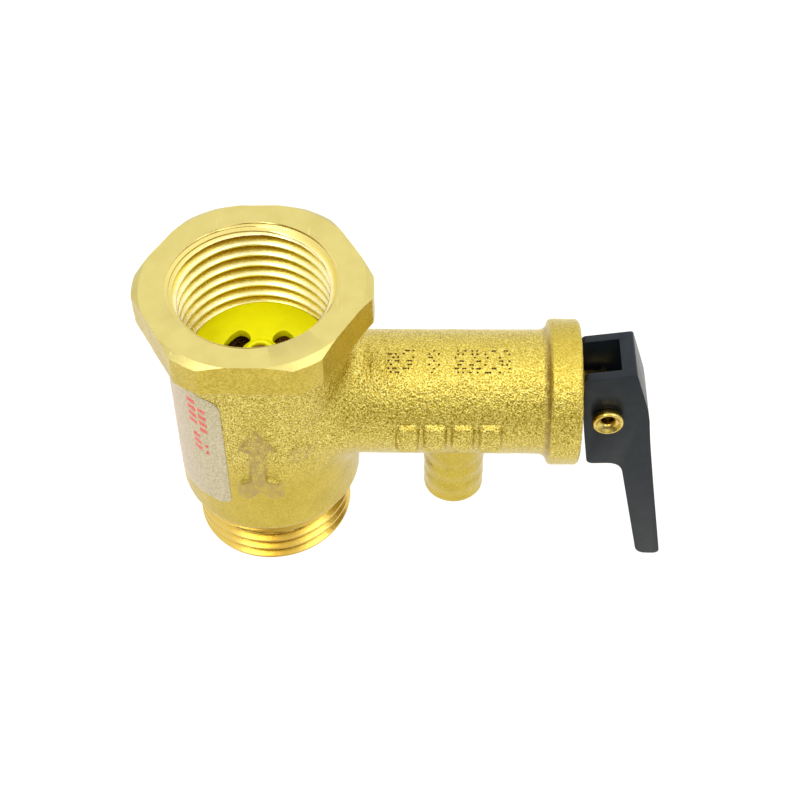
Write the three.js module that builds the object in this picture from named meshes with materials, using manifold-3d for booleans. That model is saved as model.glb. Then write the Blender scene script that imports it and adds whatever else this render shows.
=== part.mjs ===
// Pressure relief valve for a storage water heater, with a check valve in its run, a spring-loaded
// relief seat in its side arm and a lever that opens the relief seat by hand.
//
// Units are millimetres. The origin is the centre of the female end's face. +Z points along the run
// towards the heater, and +X points along the side arm, from the run to the lever.

import * as THREE from 'three';
import { mergeVertices } from 'three/addons/utils/BufferGeometryUtils.js';
import Module from 'manifold-3d';

const wasm = await Module();
wasm.setup();

// G 1/2 pipe thread
const THREAD_PITCH = 1.814;
const THREAD_MAJOR = 10.45;
const THREAD_MINOR = 9.32;

// Gap between pieces that rest against each other
const GAP = 0.3;

// The run: female hexagon at the top, male thread at the bottom
const RUN_LENGTH = 43.4;
const HEX_FLAT = 13.5;
const HEX_HEIGHT = 5;
const HEX_TURNED = 14.7;
const FACE_RADIUS = 13.7;
const FACE_CHAMFER_DROP = 0.7;
const BODY_TOP_RADIUS = 11.5;
const BODY_FOOT_RADIUS = 11.9;
const SHOULDER_Z = -34.7;

// The bore of the run, from the top down
const MOUTH_RADIUS = 10.58;
const FEMALE_THREAD_END = -12.6;
const CAGE_POCKET_RADIUS = 9.6;
const CAGE_LEDGE_Z = -16.1;
const CHAMBER_RADIUS = 8.6;
const CHAMBER_FLOOR_Z = -28;
const CHECK_LIP_Z = -27.3;
const CHECK_LIP_RADIUS = 6.9;
const CHECK_PORT_RADIUS = 6;
const SUPPLY_RADIUS = 7;

// The side arm, which holds the relief mechanism
const ARM_Z = -19.9;
const ARM_RADIUS = 8;
const COLLAR_RADIUS = 9.4;
const COLLAR_START = 35.6;
const ARM_END = 40.4;
const CAVITY_START = 12;
const CAVITY_RADIUS = 6.4;
const RELIEF_LIP_X = 12.8;
const RELIEF_LIP_RADIUS = 3.9;
const RELIEF_PORT_RADIUS = 3;
const CAP_BORE_START = 33.7;
const CAP_BORE_RADIUS = 7.3;

// The discharge nozzle under the arm
const NOZZLE_X = 24.7;
const NOZZLE_RADIUS = 4.05;
const NOZZLE_END_Z = -38.8;
const NOZZLE_BORE_RADIUS = 2.4;

// The check valve
const CAGE_RADIUS = 9.3;
const CAGE_RIM_Z = -13.25;
const CAGE_HUB_Z = -12;
const CAGE_HUB_FOOT_Z = -14.7;
const CHECK_ROD_RADIUS = 1;
const CHECK_PLATE_RADIUS = 7.5;
const CHECK_PLATE_Z = -25.3;
const CHECK_PLATE_TOP_Z = -23.9;

// The relief mechanism
const STEM_RADIUS = 1.9;
const HOLDER_RADIUS = 5.6;
const HOLDER_FRONT = 13.5;
const HOLDER_BACK = 17;
const SPRING_PLATE_X = 32.5;
const SPRING_PLATE_THICKNESS = 1.2;
const CAP_LENGTH = 6.3;

// The lever and its rivet
const PIVOT_X = 44.1;
const PIVOT_Z = -20.4;
const LEVER_WIDTH = 7.4;
const CHEEK_THICKNESS = 1.1;
const BLADE_THICKNESS = 4;
const RIVET_RADIUS = 1.4;
const RIVET_BORE_RADIUS = 1;
const RIVET_FLANGE_RADIUS = 2;
const RIVET_FLANGE_THICKNESS = 1.1;

const QUARTER_TURN = Math.PI / 2;

const brass = new THREE.MeshStandardMaterial({ color: 0xd9bf58, roughness: 0.35, metalness: 1 });
const turnedBrass = new THREE.MeshStandardMaterial({ color: 0xcfa648, roughness: 0.2, metalness: 1 });
const steel = new THREE.MeshStandardMaterial({ color: 0xb9bcc0, roughness: 0.25, metalness: 1 });
const rubber = new THREE.MeshStandardMaterial({ color: 0x1c1c1e, roughness: 0.8, metalness: 0 });
const yellowPlastic = new THREE.MeshStandardMaterial({ color: 0xe6e000, roughness: 0.45, metalness: 0 });
const blackPlastic = new THREE.MeshStandardMaterial({ color: 0x3b3f43, roughness: 0.5, metalness: 0 });
const film = new THREE.MeshStandardMaterial({ color: 0xe8e2cf, roughness: 0.4, metalness: 0 });

// ---- Solids from three.js geometry ----

// Turns a closed geometry into a solid: shared corners are welded, empty triangles are left out and
// the faces are turned outwards.
function solid(geometry) {
  const bare = geometry.clone();
  bare.deleteAttribute('normal');
  bare.deleteAttribute('uv');
  const welded = mergeVertices(bare, 1e-5);
  const position = welded.getAttribute('position');
  const corners = welded.getIndex().array;
  const triangles = [];
  let volume = 0;
  const a = new THREE.Vector3();
  const b = new THREE.Vector3();
  const c = new THREE.Vector3();
  for (let i = 0; i < corners.length; i += 3) {
    const [p, q, r] = corners.slice(i, i + 3);
    if (p === q || q === r || r === p) {
      continue;
    }
    a.fromBufferAttribute(position, p);
    b.fromBufferAttribute(position, q);
    c.fromBufferAttribute(position, r);
    volume += a.dot(b.clone().cross(c));
    triangles.push([p, q, r]);
  }
  const outward = volume > 0 ? triangles : triangles.map(([p, q, r]) => [p, r, q]);
  const mesh = new wasm.Mesh({
    numProp: 3,
    vertProperties: Float32Array.from(position.array),
    triVerts: Uint32Array.from(outward.flat()),
  });
  return new wasm.Manifold(mesh);
}

function join(...solids) {
  return solids.reduce((whole, next) => whole.add(next));
}

function cut(whole, ...tools) {
  return tools.reduce((rest, tool) => rest.subtract(tool), whole);
}

// A profile of [radius, height] points, turned about the Z axis. The profile starts and ends on the
// axis, or closes on itself.
function turned(profile, segments = 36) {
  const points = profile.map(([radius, height]) => new THREE.Vector2(radius, height));
  return new THREE.LatheGeometry(points, segments).rotateX(QUARTER_TURN);
}

// The same, turned about the side arm's axis: each point is [radius, x].
function turnedOnArm(profile, segments = 36) {
  return turned(profile, segments).rotateY(QUARTER_TURN).translate(0, 0, ARM_Z);
}

// The same, turned about an axis along Y through the lever's pivot: each point is [radius, y].
function turnedOnPivot(profile, segments = 24) {
  return turned(profile, segments).rotateX(-QUARTER_TURN).translate(PIVOT_X, 0, PIVOT_Z);
}

function rod(radius, from, to) {
  return [[0, from], [radius, from], [radius, to], [0, to]];
}

function ring(inner, outer, from, to) {
  return [[inner, from], [outer, from], [outer, to], [inner, to], [inner, from]];
}

// A flat outline in the XZ plane, extruded along Y and centred on it.
function plate(outline, width) {
  const settings = { depth: width, bevelEnabled: false, curveSegments: 6 };
  return new THREE.ExtrudeGeometry(outline, settings).rotateX(QUARTER_TURN).translate(0, width / 2, 0);
}

// A closed outline through [x, y, corner radius] points.
function roundedOutline(points) {
  const outline = new THREE.Shape();
  points.forEach(([x, y, radius], i) => {
    const corner = new THREE.Vector2(x, y);
    const before = new THREE.Vector2(...points.at(i - 1));
    const after = new THREE.Vector2(...points[(i + 1) % points.length]);
    const entry = corner.clone().add(before.sub(corner).setLength(radius));
    const exit = corner.clone().add(after.sub(corner).setLength(radius));
    if (i === 0) {
      outline.moveTo(entry.x, entry.y);
    } else {
      outline.lineTo(entry.x, entry.y);
    }
    if (radius > 0) {
      outline.quadraticCurveTo(x, y, exit.x, exit.y);
    }
  });
  outline.closePath();
  return outline;
}

// A coil about the Z axis whose first and last turns lie close together, as a ground spring's do.
class CoilCurve extends THREE.Curve {
  constructor({ radius, turns, wire, from, to }) {
    super();
    this.radius = radius;
    this.turns = turns;
    this.closedPitch = 2.15 * wire;
    this.from = from + wire;
    this.to = to - wire;
  }

  height(turn) {
    const openTurns = this.turns - 2;
    const openPitch = (this.to - this.from - 2 * this.closedPitch) / openTurns;
    const intoOpen = THREE.MathUtils.clamp(turn - 1, 0, openTurns);
    return this.from + this.closedPitch * (turn - intoOpen) + openPitch * intoOpen;
  }

  getPoint(t, target = new THREE.Vector3()) {
    const turn = t * this.turns;
    const angle = 2 * Math.PI * turn;
    return target.set(this.radius * Math.cos(angle), this.radius * Math.sin(angle), this.height(turn));
  }
}

function spring(size, stepsPerTurn) {
  const section = new THREE.Shape().absarc(0, 0, size.wire, 0, 2 * Math.PI);
  return new THREE.ExtrudeGeometry(section, {
    steps: size.turns * stepsPerTurn,
    curveSegments: 3,
    bevelEnabled: false,
    extrudePath: new CoilCurve(size),
  });
}

// ---- Valve body ----

// Ridges of a thread, as a [radius, height] profile that runs down from `from`.
function threadProfile(from, count, crest, root) {
  const profile = [];
  for (let i = 0; i < count; i += 1) {
    const z = from - i * THREAD_PITCH;
    profile.push([crest, z], [crest, z - 0.25]);
    profile.push([root, z - 0.8], [root, z - 1.05]);
  }
  profile.push([crest, from - count * THREAD_PITCH]);
  return profile;
}

function hexHead() {
  const prism = new THREE.CylinderGeometry(1, 1, HEX_HEIGHT, 6).scale(HEX_FLAT / Math.cos(Math.PI / 6), 1,
    HEX_FLAT / Math.cos(Math.PI / 6));
  prism.rotateX(QUARTER_TURN).rotateZ(Math.PI / 6).translate(0, 0, -HEX_HEIGHT / 2);
  const chamfered = turned([
    [0, -HEX_HEIGHT - 1],
    [HEX_TURNED - 1.7, -HEX_HEIGHT - 1],
    [HEX_TURNED, -HEX_HEIGHT + 0.8],
    [HEX_TURNED, -FACE_CHAMFER_DROP],
    [FACE_RADIUS, 0],
    [0, 0],
  ], 48);
  return solid(prism).intersect(solid(chamfered));
}

function runOutside() {
  return solid(turned([
    [0, -RUN_LENGTH],
    [THREAD_MAJOR - 0.15, -RUN_LENGTH],
    ...threadProfile(-36.4, 3, THREAD_MAJOR, THREAD_MINOR).reverse(),
    [THREAD_MINOR - 0.1, -36.2],
    [THREAD_MINOR - 0.1, SHOULDER_Z - 0.4],
    [BODY_FOOT_RADIUS - 1, SHOULDER_Z],
    [BODY_FOOT_RADIUS - 0.3, SHOULDER_Z + 0.3],
    [BODY_FOOT_RADIUS, SHOULDER_Z + 1],
    [BODY_TOP_RADIUS, -6.5],
    [BODY_TOP_RADIUS + 1.4, -HEX_HEIGHT + 0.5],
    [0, -HEX_HEIGHT + 0.5],
  ], 40));
}

function armOutside() {
  return solid(turnedOnArm([
    [0, 0],
    [ARM_RADIUS, 0],
    [ARM_RADIUS, COLLAR_START - 0.6],
    [ARM_RADIUS + 0.4, COLLAR_START + 0.5],
    [COLLAR_RADIUS - 0.3, COLLAR_START + 1],
    [COLLAR_RADIUS, COLLAR_START + 1.5],
    [COLLAR_RADIUS, ARM_END - 0.5],
    [COLLAR_RADIUS - 0.5, ARM_END],
    [0, ARM_END],
  ], 40));
}

function nozzleOutside() {
  const nozzle = turned([
    [0, NOZZLE_END_Z],
    [NOZZLE_RADIUS - 0.5, NOZZLE_END_Z],
    [NOZZLE_RADIUS, NOZZLE_END_Z + 2.6],
    [NOZZLE_RADIUS - 0.35, NOZZLE_END_Z + 2.9],
    [NOZZLE_RADIUS, NOZZLE_END_Z + 5.4],
    [NOZZLE_RADIUS - 0.35, NOZZLE_END_Z + 5.7],
    [NOZZLE_RADIUS, NOZZLE_END_Z + 8.6],
    [NOZZLE_RADIUS, ARM_Z],
    [0, ARM_Z],
  ], 28);
  return solid(nozzle.translate(NOZZLE_X, 0, 0));
}

function runBore() {
  return solid(turned([
    [0, 1],
    [MOUTH_RADIUS + 1, 1],
    [MOUTH_RADIUS, 0],
    ...threadProfile(-1.1, 6, THREAD_MINOR, THREAD_MAJOR),
    [THREAD_MINOR, FEMALE_THREAD_END],
    [CAGE_POCKET_RADIUS, FEMALE_THREAD_END - 0.2],
    [CAGE_POCKET_RADIUS, CAGE_LEDGE_Z],
    [CHAMBER_RADIUS, CAGE_LEDGE_Z],
    [CHAMBER_RADIUS, CHAMBER_FLOOR_Z],
    [CHECK_LIP_RADIUS, CHAMBER_FLOOR_Z],
    [CHECK_LIP_RADIUS, CHECK_LIP_Z],
    [CHECK_PORT_RADIUS, CHECK_LIP_Z],
    [CHECK_PORT_RADIUS, -29.6],
    [SUPPLY_RADIUS, -31],
    [SUPPLY_RADIUS, -RUN_LENGTH - 1],
    [0, -RUN_LENGTH - 1],
  ], 40));
}

function armBore() {
  const cavity = turnedOnArm([
    [0, RELIEF_LIP_X],
    [RELIEF_LIP_RADIUS, RELIEF_LIP_X],
    [RELIEF_LIP_RADIUS, CAVITY_START],
    [CAVITY_RADIUS, CAVITY_START],
    [CAVITY_RADIUS, CAP_BORE_START],
    [CAP_BORE_RADIUS, CAP_BORE_START],
    [CAP_BORE_RADIUS, ARM_END + 1],
    [0, ARM_END + 1],
  ], 32);
  const port = turnedOnArm(rod(RELIEF_PORT_RADIUS, 0, RELIEF_LIP_X + 1), 20);
  return join(solid(cavity), solid(port));
}

function nozzleBore() {
  const bore = turned(rod(NOZZLE_BORE_RADIUS, NOZZLE_END_Z - 1, ARM_Z), 20);
  return solid(bore.translate(NOZZLE_X, 0, 0));
}

function valveBody() {
  const casting = join(runOutside(), hexHead(), armOutside(), nozzleOutside());
  return cut(casting, runBore(), armBore(), nozzleBore());
}

// ---- Check valve in the run ----

// A yellow spider: a rim, three spokes and a hub that guides the check valve's rod.
function checkCage() {
  const dish = solid(turned([
    [CHECK_ROD_RADIUS + GAP, CAGE_HUB_FOOT_Z],
    [2.6, CAGE_HUB_FOOT_Z],
    [3, CAGE_HUB_FOOT_Z + 0.4],
    [7.6, CAGE_RIM_Z - 1.5],
    [8, CAGE_LEDGE_Z + GAP],
    [CAGE_RADIUS, CAGE_LEDGE_Z + GAP],
    [CAGE_RADIUS, CAGE_RIM_Z],
    [2.7, CAGE_HUB_Z - 0.9],
    [1.6, CAGE_HUB_Z],
    [CHECK_ROD_RADIUS + GAP, CAGE_HUB_Z],
    [CHECK_ROD_RADIUS + GAP, CAGE_HUB_FOOT_Z],
  ], 40));
  return cut(dish, ...[-30, 90, 210].map((spokeAngle) => cageWindow(spokeAngle + 60)));
}

function cageWindow(middleAngle) {
  const halfAngle = THREE.MathUtils.degToRad(32);
  const outline = new THREE.Shape();
  outline.absarc(0, 0, 4.3, -halfAngle, halfAngle, false);
  outline.absarc(0, 0, 2.5, halfAngle, -halfAngle, true);
  outline.closePath();
  const window = new THREE.ExtrudeGeometry(outline, { depth: 6, bevelEnabled: false, curveSegments: 8 });
  window.rotateZ(THREE.MathUtils.degToRad(middleAngle)).translate(0, 0, -17);
  return solid(window);
}

function checkStem() {
  return solid(turned([
    [0, -29.4],
    [CHECK_ROD_RADIUS, -29.4],
    [CHECK_ROD_RADIUS, CHECK_PLATE_Z],
    [CHECK_PLATE_RADIUS, CHECK_PLATE_Z],
    [CHECK_PLATE_RADIUS, CHECK_PLATE_TOP_Z - 0.4],
    [CHECK_PLATE_RADIUS - 0.4, CHECK_PLATE_TOP_Z],
    [CHECK_ROD_RADIUS, CHECK_PLATE_TOP_Z],
    [CHECK_ROD_RADIUS, CAGE_HUB_Z - 0.6],
    [CHECK_ROD_RADIUS - 0.3, CAGE_HUB_Z - 0.3],
    [0, CAGE_HUB_Z - 0.3],
  ], 28));
}

function checkSeal() {
  return solid(turned(ring(CHECK_ROD_RADIUS + GAP, 7.4, CHECK_LIP_Z + GAP, CHECK_PLATE_Z - GAP), 32));
}

function checkWasher() {
  return solid(turned(ring(CHECK_ROD_RADIUS + GAP, 4.8, CHECK_LIP_Z - 0.6, CHECK_LIP_Z), 28));
}

function checkNut() {
  const height = 1.2;
  const top = CHECK_LIP_Z - 0.6 - GAP;
  const prism = new THREE.CylinderGeometry(2.5, 2.5, height, 6).rotateX(QUARTER_TURN);
  const blank = solid(prism.translate(0, 0, top - height / 2));
  return cut(blank, solid(turned(rod(CHECK_ROD_RADIUS + GAP, top - 2, top + 1), 20)));
}

function checkSpring() {
  const size = { radius: 2.5, turns: 7, wire: 0.32, from: CHECK_PLATE_TOP_Z + GAP, to: CAGE_HUB_FOOT_Z - GAP };
  return solid(spring(size, 12));
}

// ---- Relief mechanism in the side arm ----

function reliefSeal() {
  return solid(turnedOnArm(rod(4.9, RELIEF_LIP_X + GAP, 15.1), 28));
}

function discHolder() {
  return solid(turnedOnArm([
    [5.2, HOLDER_FRONT],
    [HOLDER_RADIUS, HOLDER_FRONT],
    [HOLDER_RADIUS, HOLDER_BACK],
    [3.4, HOLDER_BACK],
    [3.4, HOLDER_BACK + 1.2],
    [2, HOLDER_BACK + 1.2],
    [2, HOLDER_BACK - GAP],
    [3, HOLDER_BACK - GAP],
    [3, 15.4],
    [5.2, 15.4],
    [5.2, HOLDER_FRONT],
  ], 32));
}

// A turned rod with a head inside the holder and a flat, round-ended blade outside the cap.
function reliefStem() {
  const rodEnd = PIVOT_X - 2;
  const turnedPart = solid(turnedOnArm([
    [0, 15.7],
    [2.7, 15.7],
    [2.7, HOLDER_BACK - 2 * GAP],
    [1.7, HOLDER_BACK - 2 * GAP],
    [1.7, HOLDER_BACK + 1.2 + GAP],
    [STEM_RADIUS, HOLDER_BACK + 1.2 + GAP],
    [STEM_RADIUS, rodEnd],
    [0, rodEnd],
  ], 24));
  const blade = new THREE.Shape();
  blade.moveTo(ARM_END + 0.5, PIVOT_Z - 2.2);
  blade.lineTo(PIVOT_X, PIVOT_Z - 2.5);
  blade.absarc(PIVOT_X, PIVOT_Z, 2.5, -QUARTER_TURN, QUARTER_TURN, false);
  blade.lineTo(ARM_END + 0.5, PIVOT_Z + 2.6);
  blade.closePath();
  const whole = join(turnedPart, solid(plate(blade, BLADE_THICKNESS)));
  return cut(whole, solid(turnedOnPivot(rod(RIVET_RADIUS + GAP, -5, 5))));
}

function reliefSpring() {
  const size = { radius: 4.6, turns: 7, wire: 0.62, from: HOLDER_BACK + GAP, to: SPRING_PLATE_X - GAP };
  return solid(spring(size, 14).rotateY(QUARTER_TURN).translate(0, 0, ARM_Z));
}

function springPlate() {
  const end = SPRING_PLATE_X + SPRING_PLATE_THICKNESS;
  return solid(turnedOnArm(ring(STEM_RADIUS + GAP, CAVITY_RADIUS - GAP, SPRING_PLATE_X, end - 0.3), 32));
}

function stemORing() {
  const section = [];
  const sides = 10;
  for (let i = 0; i <= sides; i += 1) {
    const angle = (2 * Math.PI * (i % sides)) / sides;
    section.push([2.8 + 0.6 * Math.cos(angle), 35 + 0.6 * Math.sin(angle)]);
  }
  return solid(turnedOnArm(section, 24));
}

// The plug that closes the arm and sets the spring: a stem hole, a pocket for the O-ring and two
// blind holes for a pin spanner.
function springCap() {
  const outerFace = ARM_END - 0.1;
  const innerFace = outerFace - CAP_LENGTH;
  const plug = solid(turnedOnArm([
    [3.7, innerFace],
    [CAP_BORE_RADIUS - GAP - 0.4, innerFace],
    [CAP_BORE_RADIUS - GAP, innerFace + 0.4],
    [CAP_BORE_RADIUS - GAP, outerFace - 0.3],
    [CAP_BORE_RADIUS - GAP - 0.3, outerFace],
    [STEM_RADIUS + GAP, outerFace],
    [STEM_RADIUS + GAP, innerFace + 1.8],
    [3.7, innerFace + 1.8],
    [3.7, innerFace],
  ], 32));
  const spannerHoles = [-1, 1].map((side) => {
    const hole = turned(rod(0.9, outerFace - 2.5, outerFace + 1), 14).rotateY(QUARTER_TURN);
    return solid(hole.translate(0, side * 4.6, ARM_Z));
  });
  return cut(plug, ...spannerHoles);
}

// ---- Lever ----

// Outlines are [x, z, corner radius] from the pivot, with the lever at rest.
const LEVER_OUTLINE = [
  [-3.42, 7.06, 0.6],
  [-2.9, -2.1, 0],
  [-1.9, -9.8, 0.9],
  [2.6, -9.65, 1.9],
  [6.75, -30.55, 1],
  [10.05, -30.55, 1],
  [7.4, -14.1, 0],
  [5.85, -4, 0],
  [5.35, 0.3, 0],
  [3, 8.15, 0.4],
];
const LEVER_CHANNEL = [
  [-6, 12, 0],
  [-6, -6, 0],
  [-2.6, -8.2, 0],
  [2.2, -8.2, 1],
  [3.6, -4.2, 0],
  [3.1, 0.2, 0],
  [1.2, 7.6, 0],
  [1.2, 12, 0],
];

function leverBlock() {
  const outside = solid(plate(roundedOutline(LEVER_OUTLINE), LEVER_WIDTH));
  const channel = solid(plate(roundedOutline(LEVER_CHANNEL), LEVER_WIDTH - 2 * CHEEK_THICKNESS));
  const block = cut(outside, channel).translate([PIVOT_X, 0, PIVOT_Z]);
  return cut(block, solid(turnedOnPivot(rod(RIVET_RADIUS + GAP, -5, 5))));
}

// A hollow rivet: its front end is formed into a flange and its back end is rolled over a washer.
function leverRivet() {
  const front = -LEVER_WIDTH / 2 - GAP;
  const back = LEVER_WIDTH / 2 + 0.4 + 2 * GAP;
  return solid(turnedOnPivot([
    [RIVET_BORE_RADIUS, front - RIVET_FLANGE_THICKNESS],
    [RIVET_FLANGE_RADIUS, front - RIVET_FLANGE_THICKNESS],
    [RIVET_FLANGE_RADIUS, front],
    [RIVET_RADIUS, front],
    [RIVET_RADIUS, back],
    [RIVET_FLANGE_RADIUS, back],
    [RIVET_FLANGE_RADIUS, back + RIVET_FLANGE_THICKNESS],
    [RIVET_BORE_RADIUS, back + RIVET_FLANGE_THICKNESS],
    [RIVET_BORE_RADIUS, front - RIVET_FLANGE_THICKNESS],
  ]));
}

function rivetWasher() {
  const start = LEVER_WIDTH / 2 + GAP;
  return solid(turnedOnPivot(ring(RIVET_RADIUS + GAP, 2.9, start, start + 0.4)));
}

// ---- Label ----

// A thin film round the left of the body.
function label() {
  const inner = BODY_FOOT_RADIUS + GAP;
  const outer = inner + 0.2;
  const from = THREE.MathUtils.degToRad(-168);
  const to = THREE.MathUtils.degToRad(-109);
  const outline = new THREE.Shape();
  outline.absarc(0, 0, outer, from, to, false);
  outline.absarc(0, 0, inner, to, from, true);
  outline.closePath();
  const sheet = new THREE.ExtrudeGeometry(outline, { depth: 20.5, bevelEnabled: false, curveSegments: 12 });
  return solid(sheet.translate(0, 0, -30.5));
}

// ---- Assembly ----

const valve = new THREE.Group();

function addPiece(name, piece, material) {
  const { vertProperties, triVerts } = piece.getMesh();
  const geometry = new THREE.BufferGeometry();
  geometry.setAttribute('position', new THREE.BufferAttribute(vertProperties, 3));
  geometry.setIndex(new THREE.BufferAttribute(triVerts, 1));
  geometry.computeVertexNormals();
  const mesh = new THREE.Mesh(geometry, material);
  mesh.name = name;
  valve.add(mesh);
}

addPiece('valve_body', valveBody(), brass);
addPiece('check_cage', checkCage(), yellowPlastic);
addPiece('check_stem', checkStem(), turnedBrass);
addPiece('check_seal', checkSeal(), rubber);
addPiece('check_washer', checkWasher(), turnedBrass);
addPiece('check_nut', checkNut(), turnedBrass);
addPiece('check_spring', checkSpring(), steel);
addPiece('relief_seal', reliefSeal(), rubber);
addPiece('disc_holder', discHolder(), turnedBrass);
addPiece('relief_stem', reliefStem(), turnedBrass);
addPiece('relief_spring', reliefSpring(), steel);
addPiece('spring_plate', springPlate(), steel);
addPiece('stem_o_ring', stemORing(), rubber);
addPiece('spring_cap', springCap(), turnedBrass);
addPiece('lever', leverBlock(), blackPlastic);
addPiece('lever_rivet', leverRivet(), turnedBrass);
addPiece('rivet_washer', rivetWasher(), turnedBrass);
addPiece('label', label(), film);

export default valve;
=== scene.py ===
"""The looks of a brass pressure relief valve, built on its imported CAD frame.

Lengths in the shape code are millimetres in the CAD frame: +Z points along the run towards the
heater, +X along the side arm, and the origin is the centre of the female end's face.
"""

import math
import random
from itertools import product

import bmesh
import bpy
import numpy as np
import openvdb
from mathutils import Matrix, Vector, noise


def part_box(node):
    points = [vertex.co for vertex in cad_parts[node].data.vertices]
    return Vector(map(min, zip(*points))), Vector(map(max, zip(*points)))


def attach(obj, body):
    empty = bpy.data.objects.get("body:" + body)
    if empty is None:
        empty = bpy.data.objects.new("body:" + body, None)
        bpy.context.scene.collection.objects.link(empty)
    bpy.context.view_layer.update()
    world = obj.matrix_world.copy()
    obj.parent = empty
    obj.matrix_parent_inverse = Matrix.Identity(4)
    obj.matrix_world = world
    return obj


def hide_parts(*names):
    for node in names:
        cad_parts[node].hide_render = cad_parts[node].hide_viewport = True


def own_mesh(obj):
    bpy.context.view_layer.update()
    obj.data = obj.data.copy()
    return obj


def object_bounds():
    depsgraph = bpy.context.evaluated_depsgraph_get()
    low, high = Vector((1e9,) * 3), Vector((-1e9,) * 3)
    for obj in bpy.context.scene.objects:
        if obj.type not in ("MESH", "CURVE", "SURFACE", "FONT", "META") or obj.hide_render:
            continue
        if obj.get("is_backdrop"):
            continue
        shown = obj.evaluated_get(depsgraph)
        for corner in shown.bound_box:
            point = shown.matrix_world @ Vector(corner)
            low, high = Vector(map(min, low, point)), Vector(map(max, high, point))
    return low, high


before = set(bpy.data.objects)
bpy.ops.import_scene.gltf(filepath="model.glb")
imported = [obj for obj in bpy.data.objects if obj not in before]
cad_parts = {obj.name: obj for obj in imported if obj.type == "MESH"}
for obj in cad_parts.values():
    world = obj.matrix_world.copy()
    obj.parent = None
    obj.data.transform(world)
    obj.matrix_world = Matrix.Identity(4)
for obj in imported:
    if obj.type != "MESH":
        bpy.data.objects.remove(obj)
cad_low, cad_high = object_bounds()

MM = 0.001


def box_mm(node):
    low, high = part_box(node)
    return low / MM, high / MM


# ---- Sizes ----

BODY_LOW, BODY_HIGH = box_mm("valve_body")
HEX_FLAT = BODY_HIGH.y
HEX_TURNED = -BODY_LOW.x
HEX_HEIGHT = 5.0
FACE_RADIUS = HEX_TURNED - 1.0
FACE_CHAMFER_DROP = 0.7
RUN_END = BODY_LOW.z
RUN_TOP_RADIUS = 11.5
RUN_FOOT_RADIUS = 11.9
SHOULDER_Z = RUN_END + 8.7

THREAD_PITCH = 1.814
THREAD_MAJOR = 10.45
THREAD_MINOR = 9.32
MOUTH_RADIUS = 10.58
MOUTH_STEPS = 4
THREAD_START = 0.3

FEMALE_THREAD_END = -13.6
CAGE_POCKET_RADIUS = 9.6
CAGE_LEDGE_Z = -16.1
CHECK_BORE = 8.6
CHECK_BORE_END = -28
CHECK_SEAT_Z = -27.3
CHECK_SEAT_LIP = 6.9
CHECK_PORT = 6
SUPPLY_BORE = 7

ARM_END = BODY_HIGH.x
CAP_LOW, CAP_HIGH = box_mm("spring_cap")
ARM_Z = (CAP_LOW.z + CAP_HIGH.z) / 2
CAP_RADIUS = (CAP_HIGH.z - CAP_LOW.z) / 2
CAP_FACE = CAP_HIGH.x
CAP_START = CAP_LOW.x
ARM_RADIUS = 8.0
COLLAR_RADIUS = 9.4
COLLAR_START = ARM_END - 4.0
RELIEF_PORT = 3.0
RELIEF_SEAT_X = 12
RELIEF_SEAT_RADIUS = 3.9
ARM_CAVITY = 6.4
CAP_SOCKET_X = 33.7
CAP_SOCKET = 7.3
NOZZLE_X = 24.7
NOZZLE_RADIUS = 4.05
NOZZLE_BORE = 2.4
NOZZLE_END = -38.8
BARB_PITCH = 2.9
BARB_COUNT = 3

# How far the casting's parts melt into each other, and how its edges are rounded
HEAD_BLEND = 0.4
COLLAR_BLEND = 1.3
ARM_BLEND = 2.2
NOZZLE_BLEND = 1.0
RUN_EDGE = 1.0
HEAD_EDGE = 0.3
COLLAR_EDGE = 0.55
NOZZLE_EDGE = 0.5

RIVET_LOW, RIVET_HIGH = box_mm("lever_rivet")
PIVOT = (RIVET_LOW + RIVET_HIGH) / 2
LEVER_LOW, LEVER_HIGH = box_mm("lever")
LEVER_WIDTH = LEVER_HIGH.y - LEVER_LOW.y
CHEEK = 1.1
BLADE = 3.9

SPRING_SEAT = -23.9

# Brightness of the studio's tent, and its two lamps as (name, place in metres, power)
SIDE_LIGHT = 0.9
TOP_LIGHT = 1.3
BACK_LIGHT = 0.2
RIGHT_LIGHT = 0.2
FRONT_SHADE = 0.75
LAMPS = [("key", (-0.2, -0.25, 0.5), 0.85), ("fill", (0.33, -0.18, 0.47), 0.4)]
LAMP_SIZE = 0.25
LAMP_TARGET = (0.015, 0, -0.02)

# The photograph's camera: its place, its turns in degrees (aside, up from straight down, and level),
# and its lens for a sensor 36 mm wide
CAMERA_PLACE = (20.92, -134.147, 139.338)
CAMERA_TURNS = [(1.45, "Z"), (39.795, "X"), (-0.801, "Z")]
SENSOR = 36
LENS = 72.50985

# The grid that the casting is drawn on
VOXEL = 0.2


# ---- Mesh helpers ----


def placed(name, data):
    """A new object in the scene."""
    made = bpy.data.objects.new(name, data)
    bpy.context.scene.collection.objects.link(made)
    return made


def new_object(name, vertices, faces, materials=()):
    """A mesh object from vertices in millimetres."""
    mesh = bpy.data.meshes.new(name)
    mesh.from_pydata([tuple(v) for v in np.asarray(vertices) * MM], [], [tuple(f) for f in faces])
    mesh.validate()
    for material in materials:
        mesh.materials.append(material)
    return placed(name, mesh)


def apply_modifiers(piece):
    """Makes the piece's modified shape its own mesh."""
    depsgraph = bpy.context.evaluated_depsgraph_get()
    mesh = bpy.data.meshes.new_from_object(piece.evaluated_get(depsgraph))
    piece.modifiers.clear()
    piece.data = mesh


def combine(piece, other, operation):
    """Joins another solid to the piece, or cuts it away, and removes the other."""
    step = piece.modifiers.new("combine", "BOOLEAN")
    step.operation = operation
    step.object = other
    step.solver = "MANIFOLD"
    apply_modifiers(piece)
    bpy.data.objects.remove(other)
    return piece


def cut(piece, tool):
    return combine(piece, tool, "DIFFERENCE")


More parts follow.
